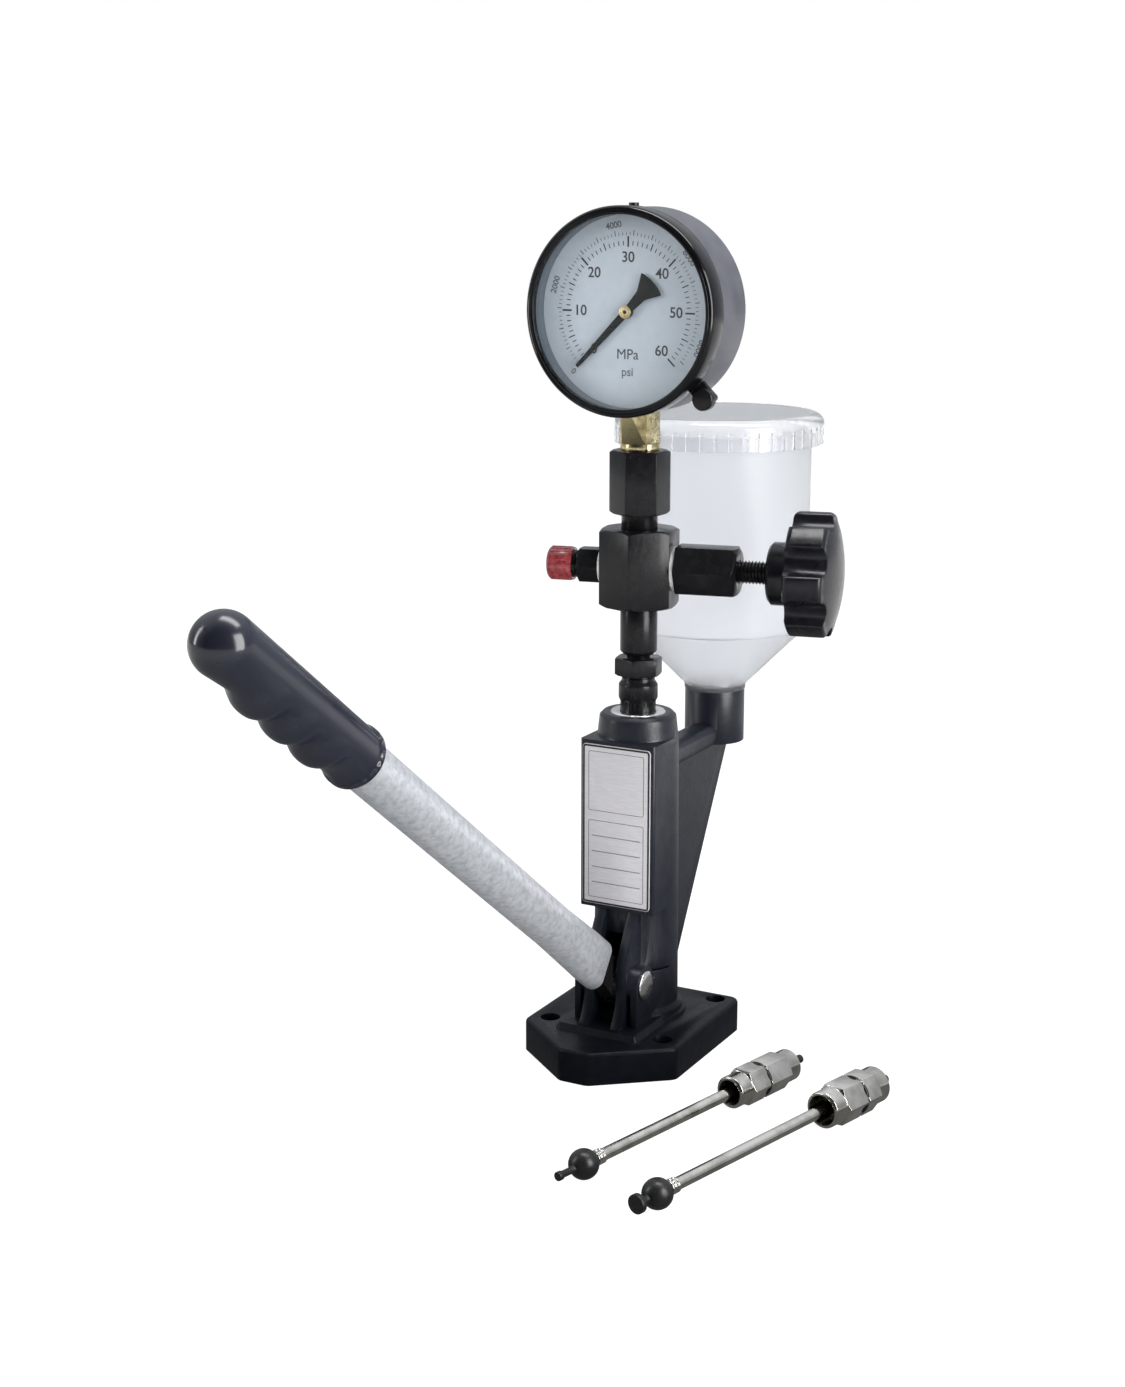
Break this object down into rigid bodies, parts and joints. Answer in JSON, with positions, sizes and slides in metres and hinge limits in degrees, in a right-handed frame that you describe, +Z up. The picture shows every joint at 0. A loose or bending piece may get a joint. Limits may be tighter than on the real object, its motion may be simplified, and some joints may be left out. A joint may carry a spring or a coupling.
{
  "type": "diesel injector tester",
  "caption": "Hand-lever pump stand with pressure gauge, shut-off valve, capped outlet and clear fuel cup, with loose delivery pipes beside it, for testing diesel injectors.",
  "frame": {"origin": "on the axis of the pump column, at the underside of the base", "axes": "+Z up along the pump column, -Y towards the hand lever and the reader of the gauge, +X towards the star knob"},
  "size_m": [0.2096, 0.5158, 0.4394],
  "materials": {
    "black_casting": "satin",
    "label_metal": "satin",
    "galvanised_steel": "satin",
    "blackened_steel": "satin",
    "bright_steel": "polished",
    "plated_steel": "satin",
    "spring_steel": "satin",
    "brass": "satin",
    "bronze": "satin",
    "grip_plastic": "gloss",
    "knob_plastic": "gloss",
    "black_rubber": "satin",
    "red_plastic": "satin",
    "washer_aluminium": "satin",
    "nylon": "satin",
    "frosted_plastic": "satin",
    "clear_plastic": "gloss",
    "glass": "gloss",
    "dial_white": "matte",
    "wall_enamel": "satin",
    "case_enamel": "satin",
    "bezel_enamel": "gloss",
    "pointer_black": "satin"
  },
  "bodies": {
    "tester": {"pump_body": "black_casting", "label_plate": "label_metal", "pivot_pin": "bright_steel", "pin_circlip": "spring_steel", "plunger_spring": "spring_steel", "barrel": "bright_steel", "delivery_valve_seat": "bright_steel", "valve_holder": "blackened_steel", "lock_ring": "bright_steel", "valve_spring": "spring_steel", "union_nut": "blackened_steel", "riser_tube": "blackened_steel", "cross_block": "blackened_steel", "outlet_washer": "washer_aluminium", "outlet_stub": "blackened_steel", "valve_washer": "washer_aluminium", "valve_bonnet": "blackened_steel", "stem_seal": "nylon", "gauge_adapter": "blackened_steel", "gauge_seal": "nylon", "gauge_socket": "brass", "gauge_case": "case_enamel", "gauge_bezel": "bezel_enamel", "gauge_glass": "glass", "glass_ring": "wall_enamel", "dial": "dial_white", "case_plug": "black_rubber", "movement_plates": "brass", "bourdon_tube": "bronze", "screw_bracket": "blackened_steel", "cup": "frosted_plastic", "cup_strainer": "bright_steel"},
    "lever": {"lever_arm": "blackened_steel", "lever_tube": "galvanised_steel", "grip": "grip_plastic"},
    "tappet_set": {"tappet": "bright_steel", "plunger": "bright_steel", "spring_seat": "bright_steel"},
    "delivery_valve_body": {"delivery_valve": "bright_steel"},
    "needle_body": {"valve_needle": "bright_steel"},
    "knob": {"valve_spindle": "blackened_steel", "star_knob": "knob_plastic"},
    "pointer_set": {"pointer": "pointer_black", "pointer_hub": "brass", "pinion_shaft": "brass"},
    "sector": {"sector_gear": "brass"},
    "link": {"tube_link": "brass"},
    "lid": {"cup_lid": "clear_plastic"},
    "cap": {"outlet_cap": "red_plastic"},
    "screw": {"thumb_screw": "blackened_steel"},
    "long_tube_body": {"long_pipe": "plated_steel"},
    "long_open_nut_body": {"long_pipe_open_nut": "plated_steel"},
    "long_closed_nut_body": {"long_pipe_closed_nut": "plated_steel"},
    "long_end_plug_body": {"long_pipe_end_plug": "black_rubber"},
    "long_tail_plug_body": {"long_pipe_tail_plug": "black_rubber"},
    "short_tube_body": {"short_pipe": "plated_steel"},
    "short_open_nut_body": {"short_pipe_open_nut": "plated_steel"},
    "short_closed_nut_body": {"short_pipe_closed_nut": "plated_steel"},
    "short_end_plug_body": {"short_pipe_end_plug": "black_rubber"},
    "short_tail_plug_body": {"short_pipe_tail_plug": "black_rubber"}
  },
  "joints": [
    {"name": "lever_press", "type": "hinge", "parent": "tester", "child": "lever", "pos_m": [0, -0.0255, 0.041], "axis": [1, 0, 0], "range_deg": [0, 32], "stiffness_Nm_per_rad": 6, "springref_deg": -22.92},
    {"name": "tappet_lift", "type": "slide", "parent": "tester", "child": "tappet_set", "axis": [0, 0, 1], "range_m": [0, 0.0138], "deforming": ["plunger_spring"]},
    {"name": "delivery_valve_lift", "type": "slide", "parent": "tester", "child": "delivery_valve_body", "axis": [0, 0, 1], "range_m": [0, 0.0015], "stiffness_N_per_m": 1500, "springref_m": -0.003, "deforming": ["valve_spring"]},
    {"name": "needle_travel", "type": "slide", "parent": "tester", "child": "needle_body", "axis": [0.9799, 0.1994, 0], "range_m": [0, 0.0036]},
    {"name": "knob_turn", "type": "hinge", "parent": "needle_body", "child": "knob", "pos_m": [0, 0, 0.257], "axis": [0.9799, 0.1994, 0], "range_deg": [0, 720]},
    {"name": "pointer_turn", "type": "hinge", "parent": "tester", "child": "pointer_set", "pos_m": [0, 0, 0.3867], "axis": [0, 1, 0], "range_deg": [0, 270], "stiffness_Nm_per_rad": 0.01, "springref_deg": -11.46},
    {"name": "sector_turn", "type": "hinge", "parent": "tester", "child": "sector", "pos_m": [0, 0, 0.3642], "axis": [0, 1, 0], "range_deg": [-35, 0]},
    {"name": "link_turn", "type": "hinge", "parent": "sector", "child": "link", "pos_m": [0, 0, 0.3562], "axis": [0, 1, 0], "range_deg": [0, 35]},
    {"name": "lid_lift", "type": "slide", "parent": "tester", "child": "lid", "axis": [0, 0, 1], "range_m": [0, 0.06]},
    {"name": "cap_pull", "type": "slide", "parent": "tester", "child": "cap", "axis": [-0.9799, -0.1994, 0], "range_m": [0, 0.03]},
    {"name": "thumb_screw_turn", "type": "hinge", "parent": "tester", "child": "screw", "pos_m": [0.04137, 0, 0.34533], "axis": [0, 1, 0], "continuous": true},
    {"name": "long_pipe_lift", "type": "slide", "parent": "tester", "child": "long_tube_body", "axis": [0, 0, 1], "range_m": [0, 0.05]},
    {"name": "long_open_nut_slide", "type": "slide", "parent": "long_tube_body", "child": "long_open_nut_body", "axis": [-0.2385, -0.9711, 0], "range_m": [0, 0.1]},
    {"name": "long_closed_nut_turn", "type": "hinge", "parent": "long_tube_body", "child": "long_closed_nut_body", "pos_m": [0.0531, -0.1858, 0.0085], "axis": [0.2385, 0.9711, 0], "continuous": true},
    {"name": "long_end_plug_pull", "type": "slide", "parent": "long_tube_body", "child": "long_end_plug_body", "axis": [-0.2385, -0.9711, 0], "range_m": [0, 0.03]},
    {"name": "long_tail_plug_pull", "type": "slide", "parent": "long_closed_nut_body", "child": "long_tail_plug_body", "axis": [0.2385, 0.9711, 0], "range_m": [0, 0.02]},
    {"name": "short_pipe_lift", "type": "slide", "parent": "tester", "child": "short_tube_body", "axis": [0, 0, 1], "range_m": [0, 0.05]},
    {"name": "short_open_nut_slide", "type": "slide", "parent": "short_tube_body", "child": "short_open_nut_body", "axis": [-0.2538, -0.9673, 0], "range_m": [0, 0.113]},
    {"name": "short_closed_nut_turn", "type": "hinge", "parent": "short_tube_body", "child": "short_closed_nut_body", "pos_m": [0.0976, -0.1956, 0.0095], "axis": [0.2538, 0.9673, 0], "continuous": true},
    {"name": "short_end_plug_pull", "type": "slide", "parent": "short_tube_body", "child": "short_end_plug_body", "axis": [-0.2538, -0.9673, 0], "range_m": [0, 0.03]},
    {"name": "short_tail_plug_pull", "type": "slide", "parent": "short_closed_nut_body", "child": "short_tail_plug_body", "axis": [0.2538, 0.9673, 0], "range_m": [0, 0.02]}
  ],
  "couplings": [
    {"joint": "tappet_lift", "follows": "lever_press", "m_per_rad": 0.02467},
    {"joint": "needle_travel", "follows": "knob_turn", "m_per_rad": 0.00027852},
    {"joint": "sector_turn", "follows": "pointer_turn", "ratio": -0.125},
    {"joint": "link_turn", "follows": "pointer_turn", "ratio": 0.125}
  ]
}
